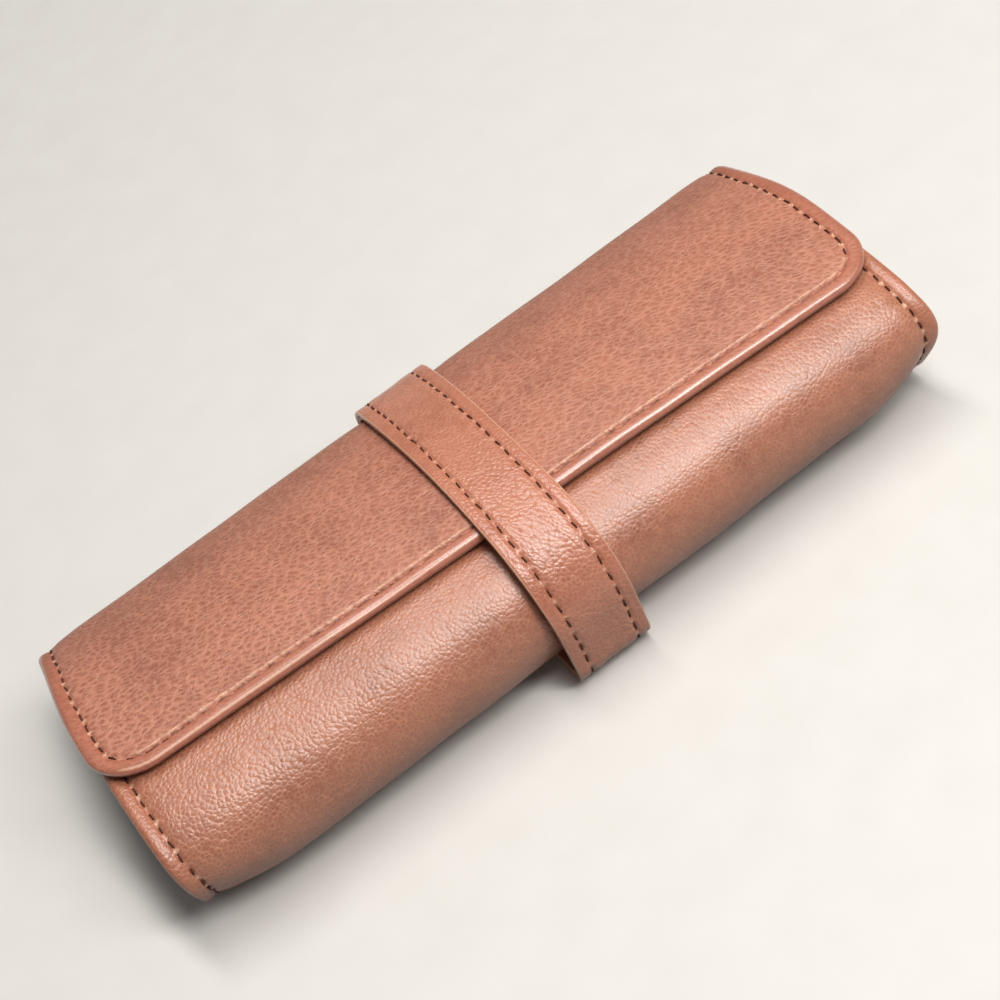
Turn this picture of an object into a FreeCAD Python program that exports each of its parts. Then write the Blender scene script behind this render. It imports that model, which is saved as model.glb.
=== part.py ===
import FreeCAD, Part
import math
import os
import re

import Sketcher
from FreeCAD import Vector

# Fountain pen case of pebbled leather. A stiff trough of leather, board and
# lining wraps back, bottom and front, a stitched flap folds over it from the
# back, and a closed leather band goes round the middle of the case.
# X runs along the case, -Y is its front, +Z is up. The origin is the middle of
# the footprint, on the surface that the band lies on. Lengths are millimetres.

SIZES = [
    ("case_length", 165, "case, end to end"),
    ("case_width", 70, "case without the band, front to back"),
    ("case_height", 29, "case without the band, underside to crown"),
    ("crown_radius", 100, "curve of the flap's top, seen from the end"),
    ("back_drop", 5.5, "fall from the crown to the top of the back round"),
    ("shell_leather", 1.3, "outer leather of the trough"),
    ("shell_board", 0.5, "stiffener of the trough"),
    ("shell_lining", 0.8, "lining of the trough"),
    ("lip_setback", 23, "edge of the trough's front lip behind the front"),
    ("flap_leather", 1.2, "outer leather of the flap"),
    ("flap_board", 0.5, "stiffener of the flap"),
    ("flap_lining", 0.9, "lining of the flap"),
    ("flap_setback_left", 18.5, "flap's edge behind the front, left end"),
    ("flap_setback_right", 11.2, "flap's edge behind the front, right end"),
    ("flap_corner", 10, "radius of the flap's two corners"),
    ("seat_gap", 0.5, "air between the flap and what it lies on"),
    ("hinge_angle", 37, "hinge line on the back round, degrees above level"),
    ("hinge_gap", 0.3, "gap between trough and flap at the hinge line"),
    ("wall_thick", 1.6, "plate of an end wall"),
    ("wall_flange", 5, "depth of an end wall's turned flange"),
    ("flange_thick", 1.2, "leather of that flange"),
    ("wall_fit", 0.05, "fit of the end wall in the lining"),
    ("divider_length", 140, "length of a pen divider"),
    ("divider_thick", 1.6, "upright of a pen divider"),
    ("divider_height", 10, "pen divider, floor to top"),
    ("divider_foot", 8, "width of a pen divider's sewn foot"),
    ("foot_thick", 1, "leather of that foot"),
    ("divider_front", 29.4, "front divider behind the front of the case"),
    ("divider_back", 48.8, "back divider behind the front of the case"),
    ("band_width", 16, "band, measured along the case"),
    ("band_shift", 2, "middle of the band from the middle of the case"),
    ("band_leather", 1, "outer leather of the band"),
    ("band_lining", 1, "inner leather of the band"),
    ("band_clearance", 0.5, "band to case at top, back and underside"),
    ("band_front_gap", 1.2, "band to case at the front"),
    ("band_shoulder", 16, "inner radius of the band over the front edge"),
    ("band_fold", 4, "inner radius of the band's fold at the front foot"),
    ("stitch_pitch", 3.3, "from stitch to stitch"),
    ("inner_pitch", 5, "from stitch to stitch on the dividers"),
    ("stitch_length", 2.2, "one stitch"),
    ("thread_width", 0.6, "thread, flat on the leather"),
    ("thread_height", 0.2, "thread, proud of the leather"),
    ("thread_rise", 0.01, "thread to leather"),
    ("seam_inset", 3, "seam from the edge of flap and trough"),
    ("band_seam_inset", 2.7, "seam from the edge of the band"),
    ("lap_length", 12, "between the two rows that close the band"),
]

DERIVED = [
    # layers and the height of the case over the band's lower run
    ("shell_thick", "shell_leather + shell_board + shell_lining"),
    ("flap_thick", "flap_leather + flap_board + flap_lining"),
    ("band_thick", "band_leather + band_lining"),
    ("underside", "band_thick + band_clearance"),
    ("floor_height", "underside + shell_thick"),
    # depth of the whole part, with the band's front and back at equal reach
    ("half_depth", "(case_width + band_front_gap + band_clearance + 2 * band_thick) / 2"),
    ("front_face", "band_thick + band_front_gap - half_depth"),
    ("back_face", "half_depth - band_thick - band_clearance"),
    # back round, and the crown arc that rolls into it
    ("back_round", "(case_height - back_drop) / 2"),
    ("back_y", "back_face - back_round"),
    ("back_z", "underside + back_round"),
    ("crown_y", "back_y - sqrt(back_drop * (2 * crown_radius - case_height))"),
    ("crown_z", "underside + case_height - crown_radius"),
    # lip arc under the flap, and the front round that rolls into it
    ("lip_radius", "crown_radius - flap_thick - seat_gap"),
    ("lip_height", "case_height - flap_thick - seat_gap"),
    ("lip_span", "2 * crown_radius - case_height - flap_thick - seat_gap"),
    ("crown_reach", "crown_y - front_face"),
    ("front_round", "sqrt((lip_span - crown_reach)^2 - crown_reach^2 + lip_span * lip_height)"
                    " - lip_span + crown_reach"),
    ("front_y", "front_face + front_round"),
    ("front_z", "underside + front_round"),
    # directions from an arc's centre to the ends of that arc
    ("hinge_dir_y", "cos(hinge_angle)"),
    ("hinge_dir_z", "sin(hinge_angle)"),
    ("root_angle", "hinge_angle + hinge_gap / back_round * 180 / pi"),
    ("root_dir_y", "cos(root_angle)"),
    ("root_dir_z", "sin(root_angle)"),
    ("back_dir_y", "(back_y - crown_y) / (crown_radius - back_round)"),
    ("back_dir_z", "(back_z - crown_z) / (crown_radius - back_round)"),
    ("front_dir_y", "(front_y - crown_y) / (lip_radius - front_round)"),
    ("front_dir_z", "(front_z - crown_z) / (lip_radius - front_round)"),
    ("lip_dir_y", "(front_face + lip_setback - crown_y) / lip_radius"),
    ("lip_dir_z", "sqrt(1 - lip_dir_y^2)"),
    ("step_dir_y", "(front_face + lip_setback + seat_gap - crown_y) / lip_radius"),
    ("step_dir_z", "sqrt(1 - step_dir_y^2)"),
    # plan of the flap's front edge, a little askew, with two round corners
    ("flap_left_y", "front_face + flap_setback_left"),
    ("flap_right_y", "front_face + flap_setback_right"),
    ("flap_skew", "atan((flap_setback_left - flap_setback_right) / case_length)"),
    ("left_tangent", "flap_corner * tan(45 - flap_skew / 2)"),
    ("right_tangent", "flap_corner * tan(45 + flap_skew / 2)"),
    # front end of the flap before its plan is cut
    ("tip_dir_y", "(flap_right_y - flap_corner / 2 - crown_y) / crown_radius"),
    ("tip_dir_z", "sqrt(1 - tip_dir_y^2)"),
    # band, inner skin
    ("band_front", "front_face - band_front_gap"),
    ("band_top_radius", "crown_radius + band_clearance"),
    ("band_back_radius", "back_round + band_clearance"),
    ("fold_y", "band_front + band_fold"),
    ("fold_z", "band_thick + band_fold"),
    ("shoulder_y", "band_front + band_shoulder"),
    ("shoulder_z", "crown_z + sqrt((band_top_radius - band_shoulder)^2 - (shoulder_y - crown_y)^2)"),
    ("shoulder_dir_y", "(shoulder_y - crown_y) / (band_top_radius - band_shoulder)"),
    ("shoulder_dir_z", "(shoulder_z - crown_z) / (band_top_radius - band_shoulder)"),
]

doc = FreeCAD.newDocument("PenCase")
sheet = doc.addObject("Spreadsheet::Sheet", "Sizes")
for row, (alias, value, meaning) in enumerate(SIZES, start=1):
    sheet.set("A%d" % row, meaning)
    sheet.set("B%d" % row, str(value))
    sheet.setAlias("B%d" % row, alias)
doc.recompute()

shape_values = doc.addObject("App::VarSet", "Form")
OWNERS = {alias: "Sizes" for alias, value, meaning in SIZES}
OWNERS.update({name: "Form" for name, formula in DERIVED})


def bound(formula):
    """The formula with each name written as a cell of the sheet or a worked-out value."""
    def owner(match):
        word = match.group(0)
        return "%s.%s" % (OWNERS[word], word) if word in OWNERS else word
    return re.sub(r"[a-z][a-z_]*", owner, formula)


def number(formula):
    """The formula's value at the present sizes."""
    return float(sheet.evalExpression(bound(formula)))


for name, formula in DERIVED:
    shape_values.addProperty("App::PropertyFloat", name, "Worked out")
    shape_values.setExpression(name, bound(formula))
    doc.recompute()


# Sketch outlines

def polar(centre, radius, direction):
    """The point at a radius from a named centre along a named direction."""
    return ("%s_y + (%s) * %s_y" % (centre, radius, direction),
            "%s_z + (%s) * %s_z" % (centre, radius, direction))


def arc_centre(start, end, radius, turn):
    """The centre of the arc under a half circle that turns left (1) or right (-1)."""
    chord = end - start
    half = chord.Length / 2
    rise = math.sqrt(max(radius * radius - half * half, 0))
    left = Vector(-chord.y, chord.x, 0).normalize()
    return (start + end) * 0.5 + left * rise * turn


def draw_outline(sketch, corners, curves):
    """Close a loop through the corners; a curve is None for a line, or a radius and a turn."""
    spots = [Vector(number(across), number(up), 0) for across, up in corners]
    first = sketch.GeometryCount
    starts = []
    for index, curve in enumerate(curves):
        start = spots[index]
        end = spots[(index + 1) % len(spots)]
        if curve is None:
            sketch.addGeometry(Part.LineSegment(start, end), False)
            starts.append(1)
            continue
        radius, turn = curve
        centre = arc_centre(start, end, number(radius), turn)
        from_start = math.atan2(start.y - centre.y, start.x - centre.x)
        from_end = math.atan2(end.y - centre.y, end.x - centre.x)
        low, high = (from_start, from_end) if turn > 0 else (from_end, from_start)
        circle = Part.Circle(centre, Vector(0, 0, 1), number(radius))
        sketch.addGeometry(Part.ArcOfCircle(circle, low, high), False)
        starts.append(1 if turn > 0 else 2)
    for index, curve in enumerate(curves):
        edge = first + index
        following = first + (index + 1) % len(curves)
        opening = starts[(index + 1) % len(curves)]
        sketch.addConstraint(Sketcher.Constraint("Coincident", edge, 3 - starts[index], following, opening))
    for index, (across, up) in enumerate(corners):
        for kind, formula in (("DistanceX", across), ("DistanceY", up)):
            rule = Sketcher.Constraint(kind, -1, 1, first + index, starts[index], number(formula))
            bind_rule(sketch, rule, formula)
    for index, curve in enumerate(curves):
        if curve is not None:
            rule = Sketcher.Constraint("Radius", first + index, number(curve[0]))
            bind_rule(sketch, rule, curve[0])


def bind_rule(sketch, rule, formula):
    """Add a dimension to the sketch and tie it to its formula."""
    place = sketch.addConstraint(rule)
    sketch.setExpression("Constraints[%d]" % place, bound(formula))


def new_sketch(body, name, role, shift=None):
    """An empty sketch on one of the body's origin planes, moved along its normal by a formula."""
    sketch = body.newObject("Sketcher::SketchObject", name)
    plane = next(item for item in body.Origin.OriginFeatures if item.Role == role)
    sketch.AttachmentSupport = [(plane, "")]
    sketch.MapMode = "FlatFace"
    if shift is not None:
        sketch.setExpression("AttachmentOffset.Base.z", bound(shift))
    return sketch


def pad(body, sketch, length, symmetric):
    """Extrude the sketch along its normal by a formula."""
    feature = body.newObject("PartDesign::Pad", sketch.Name + "_pad")
    feature.Profile = sketch
    feature.SideType = "Symmetric" if symmetric else "One side"
    feature.setExpression("Length", bound(length))
    sketch.Visibility = False
    return feature


nodes = []


def new_body(name):
    """A body that is one node of the part."""
    body = doc.addObject("PartDesign::Body", name)
    body.Label = name
    nodes.append(body)
    return body


# Trough: the wrap of back, bottom, front and lip at a depth below its outer skin

def wrap_corners(depth):
    """Hinge end, back foot, front foot, front face, start of the lip and lip end."""
    return [
        polar("back", "back_round - (%s)" % depth, "hinge_dir"),
        ("back_y", "underside + (%s)" % depth),
        ("front_y", "underside + (%s)" % depth),
        ("front_face + (%s)" % depth, "front_z"),
        polar("front", "front_round - (%s)" % depth, "front_dir"),
        polar("crown", "lip_radius - (%s)" % depth, "lip_dir"),
    ]


def wrap_curves(depth, turn):
    """The curves between the wrap's corners, in the order of the walk."""
    back = ("back_round - (%s)" % depth, turn)
    front = ("front_round - (%s)" % depth, turn)
    lip = ("lip_radius - (%s)" % depth, turn)
    walk = [back, None, front, front, lip]
    return walk if turn < 0 else walk[::-1]


def draw_wrap(sketch, outer, inner):
    """One layer of the wrap, between two depths below the outer skin."""
    corners = wrap_corners(outer) + wrap_corners(inner)[::-1]
    curves = wrap_curves(outer, -1) + [None] + wrap_curves(inner, 1) + [None]
    draw_outline(sketch, corners, curves)


def make_shell_layer(name, outer, inner):
    body = new_body(name)
    sketch = new_sketch(body, name + "_section", "YZ_Plane")
    draw_wrap(sketch, outer, inner)
    pad(body, sketch, "case_length", True)


make_shell_layer("shell_leather", "0", "shell_leather")
make_shell_layer("shell_board", "shell_leather", "shell_leather + shell_board")
make_shell_layer("shell_lining", "shell_leather + shell_board", "shell_thick")


# End walls: a plate set in from each end, with a flange turned out along the lining

def draw_wall(sketch):
    """The plate's outline: the lining's hollow, stepped up past the lip to the flap."""
    depth = "shell_thick + wall_fit"
    hollow = wrap_corners(depth)[:-1]
    under_flap = "flap_thick + seat_gap"
    corners = hollow + [
        polar("crown", "lip_radius - (%s)" % depth, "step_dir"),
        polar("crown", "crown_radius - (%s)" % under_flap, "step_dir"),
        polar("crown", "crown_radius - (%s)" % under_flap, "back_dir"),
        polar("back", "back_round - (%s)" % under_flap, "hinge_dir"),
    ]
    top = [None, ("crown_radius - (%s)" % under_flap, -1), ("back_round - (%s)" % under_flap, -1), None]
    draw_outline(sketch, corners, wrap_curves(depth, -1) + top)


def make_end_wall(name, flange_start, plate_start):
    body = new_body(name)
    plate = new_sketch(body, name + "_plate", "YZ_Plane", plate_start)
    draw_wall(plate)
    pad(body, plate, "wall_thick", False)
    flange = new_sketch(body, name + "_flange", "YZ_Plane", flange_start)
    draw_wrap(flange, "shell_thick + wall_fit", "shell_thick + wall_fit + flange_thick")
    pad(body, flange, "wall_flange", False)


make_end_wall("end_wall_left", "-case_length / 2", "wall_flange - case_length / 2")
make_end_wall("end_wall_right", "case_length / 2 - wall_flange", "case_length / 2 - wall_flange - wall_thick")


# Pen dividers: upright leather strips on a foot sewn to the floor

def make_divider(name, setback):
    middle = "front_face + %s" % setback
    half_foot = "divider_foot / 2"
    half_upright = "divider_thick / 2"
    foot_top = "floor_height + foot_thick"
    top = "floor_height + divider_height"
    corners = [
        ("%s - %s" % (middle, half_foot), "floor_height"),
        ("%s + %s" % (middle, half_foot), "floor_height"),
        ("%s + %s" % (middle, half_foot), foot_top),
        ("%s + %s" % (middle, half_upright), foot_top),
        ("%s + %s" % (middle, half_upright), top),
        ("%s - %s" % (middle, half_upright), top),
        ("%s - %s" % (middle, half_upright), foot_top),
        ("%s - %s" % (middle, half_foot), foot_top),
    ]
    body = new_body(name)
    sketch = new_sketch(body, name + "_section", "YZ_Plane")
    draw_outline(sketch, corners, [None] * len(corners))
    pad(body, sketch, "divider_length", True)


DIVIDERS = ["divider_front", "divider_back"]
for divider in DIVIDERS:
    make_divider("pen_" + divider, divider)


# Flap: from the hinge over the back round and the crown to its front edge

def flap_corners(depth):
    """Hinge end, start of the crown and front end at a depth below the outer skin."""
    return [
        polar("back", "back_round - (%s)" % depth, "root_dir"),
        polar("crown", "crown_radius - (%s)" % depth, "back_dir"),
        polar("crown", "crown_radius - (%s)" % depth, "tip_dir"),
    ]


def draw_flap_trim(sketch):
    """What the plan cuts off: all that lies in front of the edge and its round corners."""
    half = "case_length / 2"
    waste = "flap_corner"
    left_side = ("-%s" % half, "flap_left_y + left_tangent")
    right_side = (half, "flap_right_y + right_tangent")
    left_edge = ("left_tangent * cos(flap_skew) - %s" % half, "flap_left_y - left_tangent * sin(flap_skew)")
    right_edge = ("%s - right_tangent * cos(flap_skew)" % half, "flap_right_y + right_tangent * sin(flap_skew)")
    corners = [
        ("-%s - %s" % (half, waste), left_side[1]),
        left_side,
        left_edge,
        right_edge,
        right_side,
        ("%s + %s" % (half, waste), right_side[1]),
        ("%s + %s" % (half, waste), "front_face - %s" % waste),
        ("-%s - %s" % (half, waste), "front_face - %s" % waste),
    ]
    corner = ("flap_corner", 1)
    draw_outline(sketch, corners, [None, corner, None, corner, None, None, None, None])


def make_flap_layer(name, outer, inner):
    body = new_body(name)
    sketch = new_sketch(body, name + "_section", "YZ_Plane")
    out = [("back_round - (%s)" % outer, 1), ("crown_radius - (%s)" % outer, 1)]
    back = [("crown_radius - (%s)" % inner, -1), ("back_round - (%s)" % inner, -1)]
    draw_outline(sketch, flap_corners(outer) + flap_corners(inner)[::-1], out + [None] + back + [None])
    sheet_pad = pad(body, sketch, "case_length", True)
    doc.recompute()
    plan = new_sketch(body, name + "_plan", "XY_Plane")
    draw_flap_trim(plan)
    trim = body.newObject("PartDesign::Pocket", name + "_trim")
    trim.Profile = plan
    trim.SideType = "Symmetric"
    trim.Type = "ThroughAll"
    plan.Visibility = False
    doc.recompute()
    if not trim.Shape.Volume < sheet_pad.Shape.Volume:
        raise RuntimeError(name + ": its plan cut nothing")


make_flap_layer("flap_leather", "0", "flap_leather")
make_flap_layer("flap_board", "flap_leather", "flap_leather + flap_board")
make_flap_layer("flap_lining", "flap_leather + flap_board", "flap_thick")


# Band: a closed ring of two leathers, over the flap, down the front and under the case

def ring_corners(grow):
    """The ring's corners, from the front foot up the front, over the top and down the back."""
    return [
        ("fold_y", "band_thick - (%s)" % grow),
        ("band_front - (%s)" % grow, "fold_z"),
        ("band_front - (%s)" % grow, "shoulder_z"),
        polar("crown", "band_top_radius + (%s)" % grow, "shoulder_dir"),
        polar("crown", "band_top_radius + (%s)" % grow, "back_dir"),
        ("back_y + band_back_radius + (%s)" % grow, "back_z"),
        ("back_y", "band_thick - (%s)" % grow),
    ]


def draw_ring(sketch, grow):
    fold = ("band_fold + (%s)" % grow, -1)
    shoulder = ("band_shoulder + (%s)" % grow, -1)
    top = ("band_top_radius + (%s)" % grow, -1)
    back = ("band_back_radius + (%s)" % grow, -1)
    draw_outline(sketch, ring_corners(grow), [fold, None, shoulder, top, back, back, None])


def make_band_layer(name, inner, outer):
    body = new_body(name)
    sketch = new_sketch(body, name + "_section", "YZ_Plane", "band_shift")
    draw_ring(sketch, outer)
    draw_ring(sketch, inner)
    pad(body, sketch, "band_width", True)


make_band_layer("band_lining", "0", "band_lining")
make_band_layer("band_leather", "band_lining", "band_thick")
doc.recompute()


# Seams: rows of single stitches, flat on the leather

def stitch_solid():
    """One stitch along X, its underside just off the leather at Z = 0."""
    half_run = number("(stitch_length - thread_width) / 2")
    half_width = number("thread_width / 2")
    rise = number("thread_rise")
    near = Part.LineSegment(Vector(-half_run, -half_width, rise), Vector(half_run, -half_width, rise))
    far = Part.LineSegment(Vector(half_run, half_width, rise), Vector(-half_run, half_width, rise))
    right = Part.Arc(near.EndPoint, Vector(half_run + half_width, 0, rise), far.StartPoint)
    left = Part.Arc(far.EndPoint, Vector(-half_run - half_width, 0, rise), near.StartPoint)
    outline = Part.Wire([edge.toShape() for edge in (near, right, far, left)])
    return Part.Face(outline).extrude(Vector(0, 0, number("thread_height")))


def stitch_places(length, pitch):
    """Middles of the stitches that fit evenly on a length."""
    count = max(int(length / pitch), 1)
    return [length * (index + 0.5) / count for index in range(count)]


def make_seam(name, places):
    """A group of stitches; a place is a point, the way of the thread and the leather's normal."""
    stitch = stitch_solid()
    copies = []
    for point, along, normal in places:
        copy = stitch.copy()
        copy.Placement = FreeCAD.Placement(point, FreeCAD.Rotation(along, Vector(), normal, "ZXY"))
        copies.append(copy)
    seam = doc.addObject("Part::Feature", name)
    seam.Label = name
    seam.Shape = Part.Compound(copies)
    nodes.append(seam)


def arc_piece(centre, radius, start, end):
    """A stretch of section on an arc, from one angle to another."""
    middle = Vector(0, number(centre + "_y"), number(centre + "_z"))
    return {"length": abs(end - start) * radius, "arc": (middle, radius, start, end)}


def line_piece(start, end, normal):
    """A straight stretch of section."""
    return {"length": (end - start).Length, "line": (start, end, normal)}


def piece_frame(piece, share):
    """Point, way and outward normal at a share of a stretch of section."""
    if "line" in piece:
        start, end, normal = piece["line"]
        return start + (end - start) * share, (end - start).normalize(), normal
    middle, radius, start, end = piece["arc"]
    angle = start + (end - start) * share
    normal = Vector(0, math.cos(angle), math.sin(angle))
    way = Vector(0, -math.sin(angle), math.cos(angle)) * (1 if end > start else -1)
    return middle + normal * radius, way, normal


def row_round(pieces, across, pitch):
    """Places of a row that follows the section at one distance along the case."""
    places = []
    for place in stitch_places(sum(piece["length"] for piece in pieces), pitch):
        for piece in pieces:
            if place <= piece["length"]:
                point, way, normal = piece_frame(piece, place / piece["length"])
                places.append((point + Vector(across, 0, 0), way, normal))
                break
            place -= piece["length"]
    return places


def direction_angle(direction):
    return math.atan2(number(direction + "_z"), number(direction + "_y"))


seam_inset = number("seam_inset")
stitch_pitch = number("stitch_pitch")
half_length = number("case_length / 2")
quarter = math.pi / 2
down = Vector(0, 0, -1)
up = Vector(0, 0, 1)

# both ends of the trough, from the hinge round to the lip
back_stretch = arc_piece("back", number("back_round"), direction_angle("hinge_dir"), -quarter)
floor_stretch = line_piece(Vector(0, number("back_y"), number("underside")),
                           Vector(0, number("front_y"), number("underside")), down)
front_stretch = arc_piece("front", number("front_round"), 3 * quarter, direction_angle("front_dir"))
lip_stretch = arc_piece("crown", number("lip_radius"), direction_angle("front_dir"), direction_angle("lip_dir"))
end_row = [back_stretch, floor_stretch, front_stretch, lip_stretch]
make_seam("end_seam_left", row_round(end_row, seam_inset - half_length, stitch_pitch))
make_seam("end_seam_right", row_round(end_row, half_length - seam_inset, stitch_pitch))


# the lip's own edge
def make_lip_seam():
    edge = direction_angle("lip_dir") + seam_inset / number("lip_radius")
    point, way, normal = piece_frame(arc_piece("crown", number("lip_radius"), edge, edge + 1), 0)
    run = 2 * (half_length - 2 * seam_inset)
    places = stitch_places(run, stitch_pitch)
    make_seam("lip_seam", [(point + Vector(place - run / 2, 0, 0), Vector(1, 0, 0), normal) for place in places])


make_lip_seam()


# the feet of the two dividers
def make_divider_seam():
    run = number("divider_length")
    height = number("floor_height + foot_thick")
    aside = number("(divider_foot + divider_thick) / 4")
    places = []
    for divider in DIVIDERS:
        middle = number("front_face + " + divider)
        for side in (middle - aside, middle + aside):
            for place in stitch_places(run, number("inner_pitch")):
                places.append((Vector(place - run / 2, side, height), Vector(1, 0, 0), up))
    make_seam("divider_seam", places)


make_divider_seam()


# three sides of the flap, worked out on the flap rolled out flat and laid back on the crown
def flap_frame(across, run, way_across, way_run):
    """Place on the crown at a run forward of the back round, for a way on the flat leather."""
    radius = number("crown_radius")
    angle = direction_angle("back_dir") + run / radius
    normal = Vector(0, math.cos(angle), math.sin(angle))
    forward = Vector(0, -math.sin(angle), math.cos(angle))
    middle = Vector(across, number("crown_y"), number("crown_z"))
    return middle + normal * radius, Vector(way_across, 0, 0) + forward * way_run, normal


def crown_run(depth_y):
    """Run along the crown from the back round to a plane of the case's depth."""
    angle = math.acos((depth_y - number("crown_y")) / number("crown_radius"))
    return (angle - direction_angle("back_dir")) * number("crown_radius")


def make_flap_seam():
    side = half_length - seam_inset
    bend = number("flap_corner") - seam_inset
    left_run = crown_run(number("flap_left_y")) - seam_inset
    right_run = crown_run(number("flap_right_y")) - seam_inset
    slope = math.atan2(right_run - left_run, 2 * side)
    left_cut = bend * math.tan(math.pi / 4 - slope / 2)
    right_cut = bend * math.tan(math.pi / 4 + slope / 2)
    front = 2 * side / math.cos(slope) - left_cut - right_cut
    left_bend = bend * (quarter - slope)
    right_bend = bend * (quarter + slope)
    lengths = [left_run - left_cut, left_bend, front, right_bend, right_run - right_cut]
    places = []
    for place in stitch_places(sum(lengths), stitch_pitch):
        stretch = 0
        while place > lengths[stretch]:
            place -= lengths[stretch]
            stretch += 1
        if stretch == 0:
            spot = (-side, place, 0, 1)
        elif stretch == 1:
            turn = place / bend
            spot = (bend - side - bend * math.cos(turn), lengths[0] + bend * math.sin(turn),
                    math.sin(turn), math.cos(turn))
        elif stretch == 2:
            reach = left_cut + place
            spot = (reach * math.cos(slope) - side, left_run + reach * math.sin(slope),
                    math.cos(slope), math.sin(slope))
        elif stretch == 3:
            turn = slope - place / bend
            middle = (side - bend, lengths[4])
            spot = (middle[0] - bend * math.sin(turn), middle[1] + bend * math.cos(turn),
                    math.cos(turn), math.sin(turn))
        else:
            spot = (side, lengths[4] - place, 0, -1)
        places.append(flap_frame(*spot))
    make_seam("flap_seam", places)


make_flap_seam()

# both edges of the band, from above its front fold over the top to the back
band_thick = number("band_thick")
band_reach = number("band_width / 2 - band_seam_inset")
front_rise = line_piece(Vector(0, number("band_front") - band_thick, number("fold_z")),
                        Vector(0, number("band_front") - band_thick, number("shoulder_z")), Vector(0, -1, 0))
shoulder_bend = arc_piece("shoulder", number("band_shoulder") + band_thick,
                          math.pi, direction_angle("shoulder_dir"))
top_bend = arc_piece("crown", number("band_top_radius") + band_thick,
                     direction_angle("shoulder_dir"), direction_angle("back_dir"))
back_bend = arc_piece("back", number("band_back_radius") + band_thick, direction_angle("back_dir"), -quarter / 2)
band_row = [front_rise, shoulder_bend, top_bend, back_bend]
make_seam("band_seam_left", row_round(band_row, number("band_shift") - band_reach, stitch_pitch))
make_seam("band_seam_right", row_round(band_row, number("band_shift") + band_reach, stitch_pitch))


# the two rows that close the ring, on the upper face of its lower run
def make_lap_seam():
    run = 2 * band_reach
    places = []
    for side in (-0.5, 0.5):
        for place in stitch_places(run, stitch_pitch):
            point = Vector(number("band_shift") + place - run / 2, side * number("lap_length"), band_thick)
            places.append((point, Vector(1, 0, 0), up))
    make_seam("band_lap_seam", places)


make_lap_seam()


# Checks and files

def check_document():
    for item in doc.Objects:
        if "Invalid" in item.State or "Error" in item.State:
            raise RuntimeError("%s failed to build" % item.Name)
    for node in nodes:
        if node.Shape.isNull() or not node.Shape.isValid():
            raise RuntimeError("%s has no sound shape" % node.Label)


doc.recompute()
check_document()
os.makedirs("parts", exist_ok=True)
for node in nodes:
    node.Shape.exportStep("parts/%s.step" % node.Label)
print("nodes:", len(nodes))
hinge = polar("back", "back_round", "hinge_dir")
print("hinge line: y %.3f z %.3f" % tuple(number(formula) for formula in hinge))
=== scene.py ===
"""Looks of the fountain pen case: leather wrap and flap, ring band, linings, end walls and stitching."""
import math

import bpy
import numpy as np
from mathutils import Matrix


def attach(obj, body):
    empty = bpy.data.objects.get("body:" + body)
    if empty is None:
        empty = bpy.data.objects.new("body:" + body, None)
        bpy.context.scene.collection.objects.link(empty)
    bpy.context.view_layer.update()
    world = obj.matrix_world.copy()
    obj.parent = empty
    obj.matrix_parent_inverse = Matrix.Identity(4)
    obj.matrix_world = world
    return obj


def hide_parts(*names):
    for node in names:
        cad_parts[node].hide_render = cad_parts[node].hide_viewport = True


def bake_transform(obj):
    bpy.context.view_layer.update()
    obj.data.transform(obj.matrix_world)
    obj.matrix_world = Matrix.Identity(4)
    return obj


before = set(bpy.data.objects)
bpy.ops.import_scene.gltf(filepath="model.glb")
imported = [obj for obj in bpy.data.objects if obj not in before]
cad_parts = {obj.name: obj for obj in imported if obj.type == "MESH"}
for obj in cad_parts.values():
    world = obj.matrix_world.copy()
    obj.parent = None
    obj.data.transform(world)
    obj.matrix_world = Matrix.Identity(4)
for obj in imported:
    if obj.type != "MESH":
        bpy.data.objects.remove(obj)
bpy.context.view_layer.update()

MM = 0.001

# sizes in millimetres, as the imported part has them; a mark is a length along a section line
HALF_LENGTH = 82.5
LIP_START = (-11.65, 28.29)
LIP_HEADING = 182.712
LIP_RUN, LIP_RADIUS = 13.06, 96.9
FRONT_RUN, FRONT_RADIUS = 36.25, 12.25
BOTTOM_RUN = 46.0
BACK_RUN, BACK_RADIUS = 32.742, 11.75
CROWN_RUN, CROWN_RADIUS = 60.0, 100.0
COVER_THICK = 2.1
LINING_THICK = 0.5
FLAP_EDGE_LEFT, FLAP_EDGE_RIGHT = 44.59, 51.96
FLAP_CORNER = 10.0
LIP_CORNER = 0.8
LIP_TAB, LIP_TAB_START = 7.0, 71.0
HINGE_RUN = 26.05
SEAM_INSET = 3.0
STITCH_PITCH = 3.3
STITCH_LENGTH = 1.9
BAND_MIDDLE, BAND_HALF = 2.0, 8.0
BAND_SEAM = 5.3
BAND_START = (-4.0, 2.0)
BAND_RUNS = [(27.6, 0), (34.136, 12.25), (50.94, 100.5), (22.70, 16.0), (9.03, 0), (6.283, 4.0), (27.85, 0)]
BAND_THICK = 2.0
BAND_SEWN = (40.0, 168.0)
LAP_PLACES, LAP_MARKS = [-3.0, 2.0, 7.0], [8.0, 20.0]
WALL_PLANE = 76.7
FLANGE_REACH = 3.2
DIVIDER_PLACES = {"front": -5.25, "back": 14.15}
DIVIDER_HALF_LENGTH = 70.0
FOOT_PITCH, FOOT_ASIDE, FOOT_TOP = 5.0, 2.6, 1.0
FLOOR_SKIN = 5.1

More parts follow.
